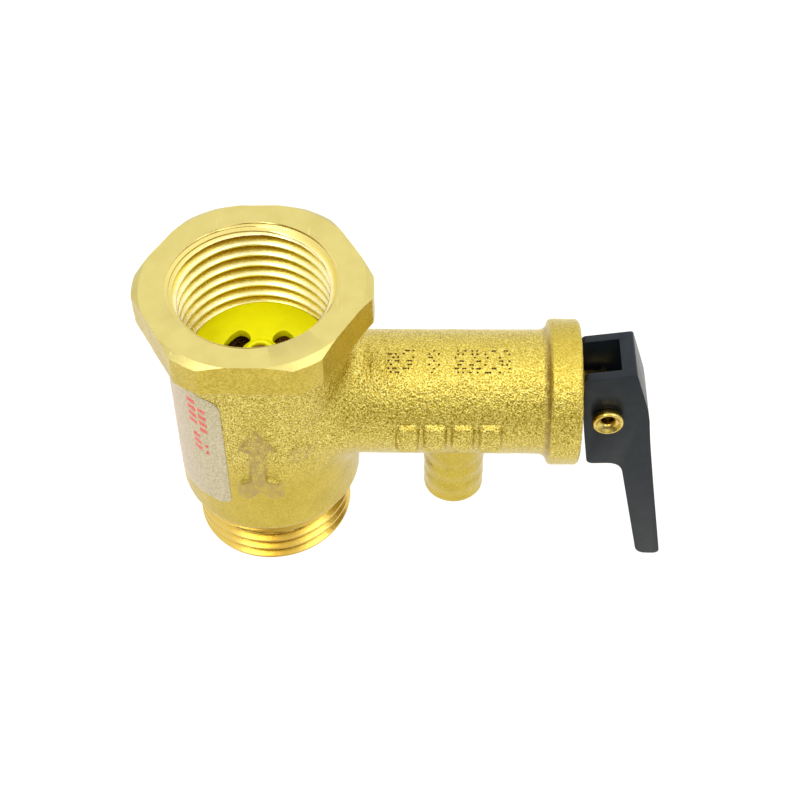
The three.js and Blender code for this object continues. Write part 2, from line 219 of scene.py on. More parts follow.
def soften(piece, width, segments=3, angle=30):
    """Rounds the sharp edges."""
    step = piece.modifiers.new("soften", "BEVEL")
    step.width = width * MM
    step.segments = segments
    step.limit_method = "ANGLE"
    step.angle_limit = math.radians(angle)
    apply_modifiers(piece)
    return piece


def smooth(piece, angle=35):
    """Shades smooth, with edges sharper than the angle kept crisp."""
    piece.data.shade_smooth()
    piece.data.set_sharp_from_angle(angle=math.radians(angle))
    return piece


def faces_out(piece):
    """Turns every face outwards."""
    shape = bmesh.new()
    shape.from_mesh(piece.data)
    bmesh.ops.remove_doubles(shape, verts=shape.verts, dist=1e-7)
    bmesh.ops.dissolve_degenerate(shape, edges=shape.edges, dist=1e-8)
    bmesh.ops.recalc_face_normals(shape, faces=shape.faces)
    shape.to_mesh(piece.data)
    shape.free()
    return piece


def along_x(points):
    """Points about the Z axis, laid over onto the side arm's axis."""
    return np.stack([points[:, 2], points[:, 1], ARM_Z - points[:, 0]], axis=1)


def along_pivot(points):
    """Points about the Z axis, laid over onto the lever's pivot, so that height becomes y."""
    return np.stack([PIVOT.x + points[:, 0], points[:, 2], PIVOT.z - points[:, 1]], axis=1)


def lathe(name, profile, materials, place=None, segments=96, offset=(0, 0)):
    """Turns a closed profile of (radius, height) points about the Z axis.

    Points on the axis become one vertex each.
    """
    vertices, rows = [], []
    for radius, height in profile:
        if radius == 0:
            rows.append([len(vertices)] * segments)
            vertices.append((0, 0, height))
            continue
        rows.append(range(len(vertices), len(vertices) + segments))
        for i in range(segments):
            turn = 2 * math.pi * i / segments
            vertices.append((radius * math.cos(turn), radius * math.sin(turn), height))
    faces = []
    for row, following in zip(rows, rows[1:] + rows[:1]):
        for i in range(segments):
            j = (i + 1) % segments
            corners = list(dict.fromkeys([row[i], row[j], following[j], following[i]]))
            if len(corners) > 2:
                faces.append(corners)
    points = np.array(vertices, dtype=float)
    if place:
        points = place(points)
    return faces_out(new_object(name, points + (*offset, 0), faces, materials))


def bend(before, corner, after, radius, steps):
    """Points of a corner that is rounded between its neighbours."""
    entry = corner + (before - corner) / np.linalg.norm(before - corner) * radius
    leave = corner + (after - corner) / np.linalg.norm(after - corner) * radius
    turns = [k / steps for k in range(steps + 1)]
    return [(1 - t) ** 2 * entry + 2 * t * (1 - t) * corner + t * t * leave for t in turns]


def rounded(profile, radius, steps=4):
    """A closed profile whose corners are rounded, apart from those on the axis."""
    points = np.array(profile, dtype=float)
    result = []
    for i, corner in enumerate(points):
        before, after = points[i - 1], points[(i + 1) % len(points)]
        shortest = min(np.linalg.norm(before - corner), np.linalg.norm(after - corner))
        reach = min(radius, 0.45 * shortest)
        sharp = corner[0] == 0 or reach < 1e-6
        result += [corner] if sharp else bend(before, corner, after, reach, steps)
    return result


def threaded(name, low, high, radius_at, materials, segments=160, rows_per_turn=24):
    """A solid whose radius follows a screw: radius_at(height, turns) gives it at each point.

    The rows climb with the helix, so that crests and roots stay crisp.
    """
    row_height = THREAD_PITCH / rows_per_turn
    row_count = int((high - low + THREAD_PITCH) / row_height) + 2
    angle = 2 * np.pi * np.arange(segments + 1) / segments
    climb = THREAD_PITCH * angle / (2 * np.pi)
    start = low - THREAD_PITCH
    height = np.clip(start + climb + row_height * np.arange(row_count)[:, None], low, high)
    radius = radius_at(height, angle / (2 * np.pi))
    grid = np.stack([radius * np.cos(angle), radius * np.sin(angle), height], axis=2)
    vertices = np.concatenate([grid.reshape(-1, 3), [(0, 0, low), (0, 0, high)]])
    across = segments + 1
    faces = []
    for row, i in product(range(row_count - 1), range(segments)):
        first = row * across + i
        faces.append((first, first + 1, first + across + 1, first + across))
    floor_point, roof_point = len(vertices) - 2, len(vertices) - 1
    last = (row_count - 1) * across
    for i in range(segments):
        faces.append((floor_point, i + 1, i))
        faces.append((roof_point, last + i, last + i + 1))
    return faces_out(new_object(name, vertices, faces, materials))


def thread_radius(height, turns, crest, root):
    """A thread's radius: a flank up, a rounded crest, a flank down and a rounded root."""
    phase = (height / THREAD_PITCH - turns + THREAD_START) % 1
    wave = np.abs(2 * phase - 1)
    rise = np.clip((wave - 0.14) / 0.72, 0, 1)
    return root + (crest - root) * rise


def between(name, first, second, materials):
    """A solid between two matching rings of points."""
    count = len(first)
    faces = [tuple(range(count)), tuple(range(2 * count - 1, count - 1, -1))]
    faces += [(i, (i + 1) % count, count + (i + 1) % count, count + i) for i in range(count)]
    return faces_out(new_object(name, first + second, faces, materials))


def prism(name, outline, width, materials):
    """An outline of (x, z) points, extruded both ways along Y."""
    front = [(x, -width / 2, z) for x, z in outline]
    back = [(x, width / 2, z) for x, z in outline]
    return between(name, front, back, materials)


def column(name, outline, low, high, materials):
    """An outline of (x, y) points, extruded along Z."""
    floor_ring = [(x, y, low) for x, y in outline]
    roof_ring = [(x, y, high) for x, y in outline]
    return between(name, floor_ring, roof_ring, materials)


# ---- Materials ----


class Tree:
    """A short way to write a node tree that works from one kind of coordinates."""

    def __init__(self, tree, place):
        self.tree = tree
        self.place = self.add("ShaderNodeTexCoord").outputs[place]

    def add(self, kind, **settings):
        node = self.tree.nodes.new(kind)
        for key, value in settings.items():
            setattr(node, key, value)
        return node

    def link(self, source, target):
        self.tree.links.new(source, target)

    def axis(self, name):
        """One of the coordinates, in metres on an object."""
        parts = self.add("ShaderNodeSeparateXYZ")
        self.link(self.place, parts.inputs["Vector"])
        return parts.outputs[name]

    def joined(self, operation, first, second):
        node = self.add("ShaderNodeMath", operation=operation)
        self.link(first, node.inputs[0])
        self.link(second, node.inputs[1])
        return node.outputs[0]

    def scaled(self, factor, low, high, start=0.0, end=1.0, interpolation="LINEAR"):
        """Maps start..end onto low..high."""
        node = self.add("ShaderNodeMapRange", interpolation_type=interpolation)
        for key, value in zip(("From Min", "From Max", "To Min", "To Max"), (start, end, low, high)):
            node.inputs[key].default_value = value
        self.link(factor, node.inputs["Value"])
        return node.outputs["Result"]


class Nodes(Tree):
    """A material's node tree."""

    def __init__(self, name):
        self.material = bpy.data.materials.new(name)
        self.material.use_nodes = True
        super().__init__(self.material.node_tree, "Object")
        self.shader = self.tree.nodes["Principled BSDF"]

    def noise(self, size_mm, detail=3.0, roughness=0.5, stretch=(1, 1, 1)):
        """Noise whose features are about size_mm across, from 0 to 1."""
        mapping = self.add("ShaderNodeMapping")
        mapping.inputs["Scale"].default_value = [s / (size_mm * MM) for s in stretch]
        self.link(self.place, mapping.inputs["Vector"])
        node = self.add("ShaderNodeTexNoise")
        node.inputs["Scale"].default_value = 1.0
        node.inputs["Detail"].default_value = detail
        node.inputs["Roughness"].default_value = roughness
        self.link(mapping.outputs["Vector"], node.inputs["Vector"])
        return node.outputs["Fac"]

    def from_axis(self):
        """The distance from the run's axis, in metres."""
        flat = self.add("ShaderNodeVectorMath", operation="MULTIPLY")
        flat.inputs[1].default_value = (1, 1, 0)
        self.link(self.place, flat.inputs[0])
        length = self.add("ShaderNodeVectorMath", operation="LENGTH")
        self.link(flat.outputs["Vector"], length.inputs[0])
        return length.outputs["Value"]

    def ramp(self, factor, *stops):
        """A colour ramp through (position, colour) stops."""
        node = self.add("ShaderNodeValToRGB")
        elements = node.color_ramp.elements
        while len(elements) < len(stops):
            elements.new(0.5)
        for element, (position, colour) in zip(elements, stops):
            element.position = position
            element.color = (*colour, 1)
        self.link(factor, node.inputs["Fac"])
        return node.outputs["Color"]

    def mixed(self, factor, first, second):
        """Mixes two colours, each a link or a plain colour."""
        node = self.add("ShaderNodeMix", data_type="RGBA")
        self.link(factor, node.inputs["Factor"])
        for source, target in ((first, node.inputs[6]), (second, node.inputs[7])):
            if isinstance(source, tuple):
                target.default_value = (*source, 1)
            else:
                self.link(source, target)
        return node.outputs[2]

    def bump(self, height, depth_mm, before=None):
        node = self.add("ShaderNodeBump")
        node.inputs["Strength"].default_value = 1
        node.inputs["Distance"].default_value = depth_mm * MM
        self.link(height, node.inputs["Height"])
        if before:
            self.link(before, node.inputs["Normal"])
        return node.outputs["Normal"]

    def finish(self, colour=None, roughness=None, normal=None, **plain):
        for source, name in ((colour, "Base Color"), (roughness, "Roughness"), (normal, "Normal")):
            if source is not None:
                self.link(source, self.shader.inputs[name])
        for name, value in plain.items():
            self.shader.inputs[name.replace("_", " ").title().replace("Ior", "IOR")].default_value = value
        return self.material


def cast_brass():
    """Blasted casting: grain with painted highlights on its peaks and painted shade in its hollows,
    smoother on the hexagon, on the arm's top and below the arrow, browner on the raised marks, and
    with painted shade in the creases under the hexagon and at the collar."""
    n = Nodes("cast_brass")
    height = n.joined("ADD", n.axis("Z"), n.scaled(n.axis("X"), 0, 6.2 * MM, 10 * MM, 13 * MM))
    below_top = n.scaled(height, 1.0, 0.3, -7.2 * MM, -4.3 * MM)
    rough = n.joined("MULTIPLY", below_top, n.scaled(n.axis("Z"), 0.2, 1.0, -25.5 * MM, -19.5 * MM))
    grain = n.noise(0.2, detail=2.0, roughness=0.55)
    rise = n.noise(0.8, detail=2.0)
    # The grain's colour follows its bump: a painted highlight, pale, on the peaks and painted shade,
    # dark, in the hollows.
    coarse = n.ramp(
        grain, (0.34, (0.29, 0.185, 0.008)), (0.48, (0.58, 0.44, 0.055)), (0.64, (0.88, 0.76, 0.22))
    )
    even = n.ramp(n.noise(3.0, detail=4.0), (0.35, (0.46, 0.335, 0.03)), (0.65, (0.53, 0.395, 0.045)))
    gold = n.mixed(rough, even, coarse)
    pits = n.scaled(n.noise(0.5, detail=1.0), 0.0, 0.7, 0.70, 0.78)
    pitted = n.mixed(n.joined("MULTIPLY", pits, rough), gold, (0.22, 0.14, 0.02))
    # The relief attribute holds the raised marks' own browner tint and painted shade in the creases under
    # the hexagon and at the collar.
    mark = n.add("ShaderNodeAttribute", attribute_name="relief").outputs["Fac"]
    patchy = n.scaled(n.noise(1.0, detail=3.0), 0.2, 1.0, 0.35, 0.6)
    # Browner where the marks are raised, and darker with painted shade in the creases.
    worn = n.mixed(n.joined("MULTIPLY", mark, patchy), pitted, (0.42, 0.30, 0.085))
    normal = n.bump(n.joined("MULTIPLY", grain, rough), 0.12)
    normal = n.bump(n.joined("MULTIPLY", rise, rough), 0.2, before=normal)
    roughness = n.scaled(n.noise(0.9), 0.28, 0.4)
    return n.finish(worn, roughness, normal, metallic=1.0, coat_weight=0.25, coat_roughness=0.25)


def machined_brass():
    """The faced end and its chamfer: pale brass with fine tool rings, scratches and a few pits."""
    n = Nodes("machined_brass")
    rings = n.add("ShaderNodeTexWave", wave_type="RINGS", rings_direction="Z")
    rings.inputs["Scale"].default_value = 900
    rings.inputs["Distortion"].default_value = 0.6
    n.link(n.place, rings.inputs["Vector"])
    cloud = n.noise(3.0, detail=4.0)
    colour = n.ramp(cloud, (0.3, (0.56, 0.465, 0.15)), (0.7, (0.62, 0.53, 0.185)))
    scratch = n.scaled(n.noise(0.5, detail=1.0, stretch=(1, 0.08, 1)), 0.0, 0.35, 0.74, 0.78)
    scored = n.mixed(scratch, colour, (0.85, 0.77, 0.40))
    pits = n.scaled(n.noise(0.45, detail=1.0), 0.0, 0.6, 0.76, 0.80)
    pitted = n.mixed(pits, scored, (0.34, 0.25, 0.05))
    normal = n.bump(rings.outputs["Fac"], 0.005)
    normal = n.bump(n.noise(0.3), 0.02, before=normal)
    return n.finish(pitted, n.scaled(cloud, 0.32, 0.42), normal, metallic=1.0)


def cut_thread(n, colour, mask, tint, metallic):
    """A cut thread: its colour with streaks of oil, and a tint over part of it."""
    streaks = n.scaled(n.noise(1.2, detail=3.0, stretch=(1, 1, 0.3)), 0.0, 0.3, 0.4, 0.75)
    streaked = n.mixed(streaks, colour, (0.66, 0.50, 0.08))
    normal = n.bump(n.noise(0.5, detail=2.0, stretch=(1, 1, 3)), 0.012)
    gloss = n.scaled(n.noise(0.8), 0.2, 0.32)
    return n.finish(n.mixed(mask, streaked, tint), gloss, normal, metallic=metallic)


def female_thread_brass():
    """Painted highlight, pale, on the crests, with painted shade, deep gold, in the roots, and plain in
    the mouth.
    """
    n = Nodes("female_thread")
    depth = n.scaled(n.from_axis(), 0.0, 1.0, THREAD_MINOR * MM, THREAD_MAJOR * MM)
    crest, flank, root = (0.92, 0.83, 0.45), (0.82, 0.66, 0.10), (0.74, 0.48, 0.0)
    # Painted highlight on the crests and painted shade in the roots, by distance from the axis.
    colour = n.ramp(depth, (0.2, crest), (0.5, flank), (0.8, root))
    mouth = n.scaled(n.axis("Z"), 0.0, 0.9, -1.1 * MM, -0.6 * MM)
    return cut_thread(n, colour, mouth, (0.66, 0.55, 0.19), 0.8)


def male_thread_brass():
    """Gold on the crests, with painted shade deeper in the roots, and a painted dark reflection as a
    brown band across the middle, front and back.
    """
    n = Nodes("male_thread")
    depth = n.scaled(n.from_axis(), 0.0, 1.0, THREAD_MAJOR * MM, THREAD_MINOR * MM)
    crest, flank, root = (0.66, 0.47, 0.11), (0.60, 0.40, 0.06), (0.50, 0.30, 0.03)
    # Painted shade: the colour deepens towards the roots.
    colour = n.ramp(depth, (0.25, crest), (0.65, flank), (0.97, root))
    # Painted dark reflection: a brown band where x is near zero, on the front and the back alike.
    across = n.joined("ABSOLUTE", n.axis("X"), n.axis("X"))
    front = n.scaled(across, 0.8, 0.0, 0.5 * MM, 6.5 * MM)
    return cut_thread(n, colour, front, (0.38, 0.21, 0.015), 1.0)


def mottled(name, patch, low, high, grain, depth, gloss_patch, gloss, edge=0.35, stretch=1, **plain):
    """A material with soft patches of two colours, a fine grain and uneven gloss, sizes in mm."""
    n = Nodes(name)
    colour = n.ramp(n.noise(patch), (edge, low), (1 - edge, high))
    normal = n.bump(n.noise(grain, stretch=(stretch, 1, 1)), depth)
    return n.finish(colour, n.scaled(n.noise(gloss_patch), *gloss), normal, **plain)


def turned_brass(name="turned_brass", low=(0.50, 0.34, 0.08), high=(0.66, 0.49, 0.16)):
    """Small turned pieces."""
    return mottled(name, 0.8, low, high, 0.12, 0.01, 0.5, (0.2, 0.34), stretch=3, metallic=1.0)


def rivet_brass():
    """Pressed brass, bright on the rolled edge."""
    low, high = (0.52, 0.36, 0.05), (0.76, 0.60, 0.18)
    return mottled("rivet_brass", 0.7, low, high, 0.3, 0.02, 0.4, (0.16, 0.3), metallic=1.0)


def spring_steel():
    """Drawn wire and stamped plate."""
    low, high = (0.38, 0.39, 0.41), (0.55, 0.56, 0.58)
    return mottled("spring_steel", 0.5, low, high, 0.1, 0.006, 0.3, (0.2, 0.36), metallic=1.0)


def black_rubber():
    low, high = (0.012, 0.012, 0.013), (0.03, 0.03, 0.032)
    return mottled("black_rubber", 0.8, low, high, 0.15, 0.01, 0.5, (0.6, 0.8))


def yellow_plastic():
    """Moulded yellow plastic, saturated, with a soft gloss."""
    low, high, gloss = (0.94, 0.91, 0.0), (1.0, 0.98, 0.001), (0.34, 0.48)
    plain = {"edge": 0.3, "specular_ior_level": 0.3}
    return mottled("yellow_plastic", 2.0, low, high, 0.4, 0.008, 0.9, gloss, **plain)


def black_plastic():
    """Charcoal moulded plastic, satin, with a fine spark-eroded grain."""
    low, high, gloss = (0.008, 0.012, 0.016), (0.013, 0.018, 0.023), (0.28, 0.38)
    plain = {"edge": 0.3, "specular_ior_level": 0.2}
    return mottled("black_plastic", 1.5, low, high, 0.2, 0.008, 0.6, gloss, **plain)


def batch_ink():
    """Dark brown ink of the sprayed dots."""
    low, high, gloss = (0.03, 0.012, 0.002), (0.12, 0.06, 0.012), (0.45, 0.6)
    plain = {"edge": 0.3, "specular_ior_level": 0.1}
    return mottled("batch_ink", 0.2, low, high, 0.1, 0.01, 0.3, gloss, **plain)


def label_film():
    """Thin milky film that shows the blasted grain beneath, pinker towards its worn left side."""
    n = Nodes("label_film")
    grain = n.noise(0.27, detail=2.0, roughness=0.55)
    milk = n.ramp(grain, (0.35, (0.66, 0.54, 0.29)), (0.65, (0.95, 0.86, 0.60)))
    side = n.scaled(n.axis("X"), 0.55, 0.0, -12 * MM, -7 * MM)
    pink = n.mixed(side, milk, (0.95, 0.74, 0.68))
    normal = n.bump(grain, 0.25)
    return n.finish(pink, n.scaled(n.noise(0.7), 0.3, 0.42), normal, alpha=0.72)


def label_ink():
    """The red of the label's plain bars, patchy where the film is rubbed."""
    n = Nodes("label_ink")
    grain = n.noise(0.3, detail=3.0)
    red = n.ramp(grain, (0.35, (0.75, 0.04, 0.03)), (0.65, (0.80, 0.20, 0.14)))
    return n.finish(red, n.scaled(n.noise(0.7), 0.35, 0.45), n.bump(grain, 0.06))


# ---- The casting ----


def smooth_min(first, second, reach):
    blend = np.clip(0.5 + 0.5 * (second - first) / reach, 0, 1)
    return second + (first - second) * blend - reach * blend * (1 - blend)


def past(place, low, high):
    """Distance past the span from low to high, below zero inside."""
    return np.abs(place - (low + high) / 2) - (high - low) / 2


def rounded_box(across, along, radius):
    """Distance to a region where across and along are both below zero, with its corner rounded."""
    across, along = across + radius, along + radius
    outside = np.hypot(np.maximum(across, 0), np.maximum(along, 0))
    return outside + np.minimum(np.maximum(across, along), 0) - radius


def inside_outline(x, y, outline):
    """Distance to a closed outline of (x, y) points, below zero inside."""
    distance = np.full(x.shape, 1e9)
    crossings = np.zeros(x.shape, dtype=int)
    for (ax, ay), (bx, by) in zip(outline, outline[1:] + outline[:1]):
        ex, ey = bx - ax, by - ay
        t = np.clip(((x - ax) * ex + (y - ay) * ey) / (ex * ex + ey * ey), 0, 1)
        distance = np.minimum(distance, np.hypot(x - ax - t * ex, y - ay - t * ey))
        if ay != by:
            hits = (np.minimum(ay, by) <= y) & (y < np.maximum(ay, by))
            crossings += hits & (x < ax + (y - ay) * ex / ey)
    return np.where(crossings % 2 == 1, -distance, distance)


ARROW_HEIGHT = 0.5
# The flow arrow on the front of the run, as (x, z)
ARROW = [
    (0.2, -13.4), (2.65, -18.0), (1.0, -18.1), (0.85, -23.4), (2.6, -24.2), (2.75, -27.0), (1.5, -27.2),
    (-0.05, -25.6), (-1.5, -27.3), (-2.9, -27.0), (-2.6, -24.2), (-1.15, -23.4), (-0.95, -18.0),
    (-2.4, -17.6),
]


def raised(distance, height):
    """A relief of that height inside an outline, with a soft edge."""
    step = np.clip(0.5 - distance / 0.45, 0, 1)
    return height * step * step * (3 - 2 * step)


# The four plain blocks raised on the front of the arm
BLOCK_START = 17.2
BLOCK_WIDTH = 2.7
BLOCK_PITCH = 3.5
BLOCK_TOP = -17.6
BLOCK_FOOT = -22.4


def run_marks(x, z):
    """The height of the flow arrow and the round mark on the front of the run."""
    arrow = raised(inside_outline(x, z, ARROW), ARROW_HEIGHT)
    return arrow + raised(np.hypot((x - 5.2) / 0.9, z + 19.5) - 1.5, 0.22)


def arm_marks(x, z):
    """The height of the plain blocks on the front of the arm."""
    height = np.zeros(x.shape)
    for i in range(4):
        start = BLOCK_START + i * BLOCK_PITCH
        across = past(x, start, start + BLOCK_WIDTH)
        along = past(z, BLOCK_FOOT, BLOCK_TOP)
        height = height + raised(rounded_box(across, along, 0.6), 0.55)
    return height


def casting_distance(x, y, z):
    """Distance to the casting's skin, below zero inside."""
    from_run = np.hypot(x, y)
    run_radius = RUN_FOOT_RADIUS + (RUN_TOP_RADIUS - RUN_FOOT_RADIUS) * np.clip(
        (z - SHOULDER_Z) / (-HEX_HEIGHT - SHOULDER_Z), 0, 1
    )
    run_radius = run_radius + np.where(y < -6, run_marks(x, z), 0)
    run = rounded_box(from_run - run_radius, past(z, SHOULDER_Z, -0.5), RUN_EDGE)

    hexagon = np.full(x.shape, -1e9)
    for turn in (30, 90, 150):
        side = math.radians(turn)
        hexagon = np.maximum(hexagon, np.abs(x * math.cos(side) + y * math.sin(side)) - HEX_FLAT)
    head = rounded_box(hexagon, past(z, -HEX_HEIGHT, 1), HEAD_EDGE)
    head = np.maximum(head, from_run - HEX_TURNED + 0.1)

    from_arm = np.hypot(y, z - ARM_Z)
    arm_radius = ARM_RADIUS + np.where(y < -3, arm_marks(x, z), 0)
    arm = np.maximum(from_arm - arm_radius, np.maximum(x - ARM_END + 1, -x))
    collar = rounded_box(from_arm - COLLAR_RADIUS, past(x, COLLAR_START, ARM_END), COLLAR_EDGE)
    branch = smooth_min(arm, collar, COLLAR_BLEND)

    from_nozzle = np.hypot(x - NOZZLE_X, y) - barb_radius(z)
    nozzle = rounded_box(from_nozzle, past(z, NOZZLE_END, ARM_Z), NOZZLE_EDGE)
    trunk = smooth_min(run, head, HEAD_BLEND)
    return smooth_min(smooth_min(trunk, branch, ARM_BLEND), nozzle, NOZZLE_BLEND)


def barb_radius(z):
    """The nozzle's radius: shallow ridges that hold a drain hose."""
    climb = np.clip((z - NOZZLE_END) / BARB_PITCH, 0, BARB_COUNT)
    return NOZZLE_RADIUS - 0.05 * (1 - np.cos(2 * np.pi * climb))


def draw_casting(materials):
    """The casting's outside as a fine closed mesh, with its blasted grain."""
    margin = 3 * VOXEL
    low = np.array([-HEX_TURNED, -HEX_FLAT, NOZZLE_END]) - margin
    high = np.array([ARM_END, HEX_FLAT, 0.5]) + margin
    counts = np.ceil((high - low) / VOXEL).astype(int)
    axes = [low[i] + VOXEL * np.arange(counts[i]) for i in range(3)]
    field = casting_distance(*np.meshgrid(*axes, indexing="ij")).astype(np.float32)
    grid = openvdb.FloatGrid(1.0)
    grid.copyFromArray(np.clip(field, -3 * VOXEL, 3 * VOXEL))
    points, quads = grid.convertToQuads(0.0)
    points = points.astype(float) * VOXEL + low
    points = onto_skin(points, 2)
    points = points + slope(points) * blasted(points)
    casting = faces_out(new_object("valve_casting", points, quads, materials))
    skin = np.array([vertex.co for vertex in casting.data.vertices]) / MM
    x, y, z = skin.T
    # The relief attribute holds the raised marks' browner tint and painted shade in the creases under the
    # hexagon and at the collar.
    marks = np.where(y < -6, run_marks(x, z) / ARROW_HEIGHT, 0)
    shade_under_hex = crease(z + HEX_HEIGHT, 0.3) * (x < RUN_TOP_RADIUS - 0.5)
    shade_at_collar = crease(x - COLLAR_START, 0.35) * (z > NOZZLE_END + 10)
    relief = casting.data.attributes.new("relief", "FLOAT", "POINT")
    tint_and_crease_shade = np.clip(np.maximum(marks, np.maximum(shade_under_hex, shade_at_collar)), 0, 1)
    relief.data.foreach_set("value", tint_and_crease_shade.astype(np.float32))
    return casting


def crease(distance, width):
    """A soft line of painted shade just outside an edge."""
    return np.exp(-(((distance + 0.3) / width) ** 2))


def slope(points):
    """The unit direction in which the casting's distance grows."""
    reach = 0.05
    parts = []
    for axis in range(3):
        shift = np.zeros(3)
        shift[axis] = reach
        parts.append(casting_distance(*(points + shift).T) - casting_distance(*(points - shift).T))
    direction = np.stack(parts, axis=1)
    return direction / np.maximum(np.linalg.norm(direction, axis=1, keepdims=True), 1e-9)


def onto_skin(points, passes=3):
    """Points near the casting's smooth skin, moved onto it."""
    for _ in range(passes):
        points = points - slope(points) * casting_distance(*points.T)[:, None]
    return points


def blasted(points):
    """How far the blasted skin stands out at each point."""
    lifts = [
        0.04 * noise.noise(point * 0.35) + 0.03 * noise.noise(point * 1.7)
        for point in map(Vector, points)
    ]
    return np.array(lifts)[:, None]


def turning_tool(materials):
    """What facing the end and chamfering the hexagon leave: everything below the tool's path."""
    profile = [
        (0, RUN_END - 5), (60, RUN_END - 5), (60, -HEX_HEIGHT - 4), (HEX_TURNED + 4, -HEX_HEIGHT - 4),
        (HEX_TURNED + 4, -5 * FACE_CHAMFER_DROP), (FACE_RADIUS, 0), (0, 0),
    ]
    return lathe("turning_tool", profile, materials, segments=160)


def female_radius(height, turns):
    thread = thread_radius(height, turns, THREAD_MAJOR, THREAD_MINOR)
    step = MOUTH_STEPS * (height / THREAD_PITCH - turns) % 1
    tool_steps = THREAD_PITCH / MOUTH_STEPS * (np.abs(step - 0.5) - 0.5)
    return np.maximum(thread, MOUTH_RADIUS + height + tool_steps)


def male_radius(height, turns):
    thread = thread_radius(height, turns, THREAD_MAJOR, THREAD_MINOR)
    lead = THREAD_MAJOR - 0.05 - np.clip(RUN_END + 0.3 - height, 0, 1)
    runout = THREAD_MINOR + np.clip(SHOULDER_Z - 1.5 - height, 0, 2)
    return np.minimum(np.minimum(thread, lead), runout)


def valve_casting():
    cast, faced, female = cast_brass(), machined_brass(), female_thread_brass()
    male, bore = male_thread_brass(), turned_brass()
    casting = draw_casting([cast, faced, female, male, bore])
    combine(casting, turning_tool([faced]), "INTERSECT")
    combine(casting, threaded("male_thread", RUN_END, SHOULDER_Z + 1, male_radius, [male]), "UNION")
    cut(casting, threaded("female_thread", FEMALE_THREAD_END, 1, female_radius, [female]))
    cut(casting, lathe("run_bore", RUN_BORE, [bore]))
    cut(casting, lathe("arm_bore", ARM_BORE, [bore], along_x))
    cut(casting, lathe("relief_port", rod(RELIEF_PORT, 0, RELIEF_SEAT_X + 2), [bore], along_x))
    nozzle = rod(NOZZLE_BORE, NOZZLE_END - 1, ARM_Z)
    cut(casting, lathe("nozzle_bore", nozzle, [bore], offset=(NOZZLE_X, 0)))
    return smooth(casting, 28)


def rod(radius, low, high):
    return [(0, low), (radius, low), (radius, high), (0, high)]


def ring(inner, outer, low, high):
    return [(inner, low), (outer, low), (outer, high), (inner, high)]


RUN_BORE = [
    (0, FEMALE_THREAD_END + 0.1), (THREAD_MINOR, FEMALE_THREAD_END + 0.1),
    (CAGE_POCKET_RADIUS, FEMALE_THREAD_END - 0.2), (CAGE_POCKET_RADIUS, CAGE_LEDGE_Z),
    (CHECK_BORE, CAGE_LEDGE_Z), (CHECK_BORE, CHECK_BORE_END), (CHECK_SEAT_LIP, CHECK_BORE_END),
    (CHECK_SEAT_LIP, CHECK_SEAT_Z), (CHECK_PORT, CHECK_SEAT_Z), (CHECK_PORT, -29.6), (SUPPLY_BORE, -31),
    (SUPPLY_BORE, RUN_END - 1), (0, RUN_END - 1),
]
ARM_BORE = [
    (0, RELIEF_SEAT_X + 0.8), (RELIEF_SEAT_RADIUS, RELIEF_SEAT_X + 0.8),
    (RELIEF_SEAT_RADIUS, RELIEF_SEAT_X), (ARM_CAVITY, RELIEF_SEAT_X), (ARM_CAVITY, CAP_SOCKET_X),
    (CAP_SOCKET, CAP_SOCKET_X), (CAP_SOCKET, ARM_END + 1), (0, ARM_END + 1),
]


# ---- The lever ----

# The lever's side outline at rest, as (x, z) from the pivot, with the radius of each corner
LEVER_OUTLINE = [
    (-3.42, 7.06, 0.6), (-2.9, -2.1, 3), (-1.9, -9.8, 0.9), (2.6, -9.65, 1.9), (6.75, -30.55, 1.5),
    (10.05, -30.55, 1.1), (7.4, -14.1, 4), (5.85, -4, 3), (5.35, 0.3, 2), (3, 8.15, 0.4),
]
LEVER_CHANNEL = [
    (-6, 12, 0), (-6, -6, 0), (-2.6, -8.2, 0), (2.2, -8.2, 1), (3.6, -4.2, 1), (3.1, 0.2, 1),
    (1.2, 7.6, 0.5), (1.2, 12, 0),
]


def rounded_outline(corners, steps=6):
    """Points of a closed outline whose corners are rounded to their radii, moved to the pivot."""
    points = np.array([corner[:2] for corner in corners])
    result = []
    for i, corner in enumerate(points):
        after, radius = points[(i + 1) % len(points)], corners[i][2]
        result += bend(points[i - 1], corner, after, radius, steps) if radius else [corner]
    return [(PIVOT.x + x, PIVOT.z + z) for x, z in result]


def lever():
    plastic = [black_plastic()]
    block = prism("lever_moulding", rounded_outline(LEVER_OUTLINE), LEVER_WIDTH, plastic)
    channel = prism("channel", rounded_outline(LEVER_CHANNEL), LEVER_WIDTH - 2 * CHEEK, plastic)
    cut(block, channel)
    cut(block, lathe("rivet_hole", rod(1.7, -6, 6), plastic, along_pivot, segments=48))
    soften(block, 0.3)
    return smooth(block)


def rivet():
    """A tube whose front end is spun out into a rolled flange."""
    flange = [
        (0.8, 1.9), (0.8, 0.9), (0.88, 0.68), (1.1, 0.5), (1.45, 0.38), (1.6, 0.06), (1.75, 0),
        (1.9, 0.08), (1.98, 0.4), (2.0, 0.75), (1.95, 1.05), (1.4, 1.1),
    ]
    back_end = [
        (1.4, 1.1), (1.95, 1.05), (2.0, 0.7), (1.9, 0.2), (1.7, 0), (1.1, 0.2), (0.8, 0.8),
    ]
    profile = [(radius, RIVET_LOW.y + height) for radius, height in flange]
    profile += [(radius, RIVET_HIGH.y - height) for radius, height in back_end]
    return smooth(lathe("hollow_rivet", profile, [rivet_brass()], along_pivot), 60)


# ---- The cage ----


